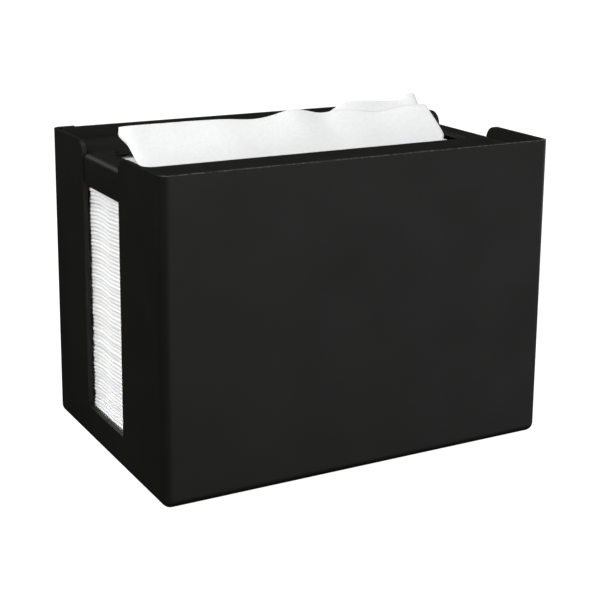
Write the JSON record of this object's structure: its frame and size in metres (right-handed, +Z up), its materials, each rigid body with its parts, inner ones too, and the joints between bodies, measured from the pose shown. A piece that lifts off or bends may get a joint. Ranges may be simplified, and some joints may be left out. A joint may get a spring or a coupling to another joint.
{
  "type": "napkin dispenser",
  "caption": "Open-topped black steel box for a stack of folded paper napkins, with slotted sides and a sinking follower lid whose long opening holds one napkin upright.",
  "frame": {"origin": "on the table, under the middle of the box", "axes": "+X to the right along the front, +Y from the front to the back, +Z up"},
  "size_m": [0.178, 0.121, 0.1455],
  "materials": {
    "black_coat": "satin black powder coat on steel",
    "foot_rubber": "matte black rubber",
    "zinc_steel": "zinc-plated steel",
    "napkin_paper": "soft white two-ply tissue paper"
  },
  "bodies": {
    "dispenser": {"shell_wrap": "black_coat", "rear_panel": "black_coat", "floor_pan": "black_coat", "foot_front_left": "foot_rubber", "foot_front_right": "foot_rubber", "foot_rear_left": "foot_rubber", "foot_rear_right": "foot_rubber", "foot_screw_front_left": "zinc_steel", "foot_screw_front_right": "zinc_steel", "foot_screw_rear_left": "zinc_steel", "foot_screw_rear_right": "zinc_steel", "foot_nut_front_left": "zinc_steel", "foot_nut_front_right": "zinc_steel", "foot_nut_rear_left": "zinc_steel", "foot_nut_rear_right": "zinc_steel", "napkin_bundle_bottom": "napkin_paper", "napkin_bundle_middle": "napkin_paper", "napkin_bundle_top": "napkin_paper"},
    "stack_top": {"top_napkin": "napkin_paper"},
    "follower": {"follower_lid": "black_coat"},
    "standing_napkin": {"presented_napkin": "napkin_paper"}
  },
  "joints": [
    {"name": "stack_level", "type": "slide", "parent": "dispenser", "child": "stack_top", "axis": [0, 0, 1], "range_m": [-0.097, 0], "deforming": ["napkin_bundle_bottom", "napkin_bundle_middle", "napkin_bundle_top"]},
    {"name": "lid_lift", "type": "slide", "parent": "stack_top", "child": "follower", "axis": [0, 0, 1], "range_m": [0, 0.06]},
    {"name": "napkin_pull", "type": "slide", "parent": "stack_top", "child": "standing_napkin", "axis": [0, 0, 1], "range_m": [0, 0.06]}
  ]
}
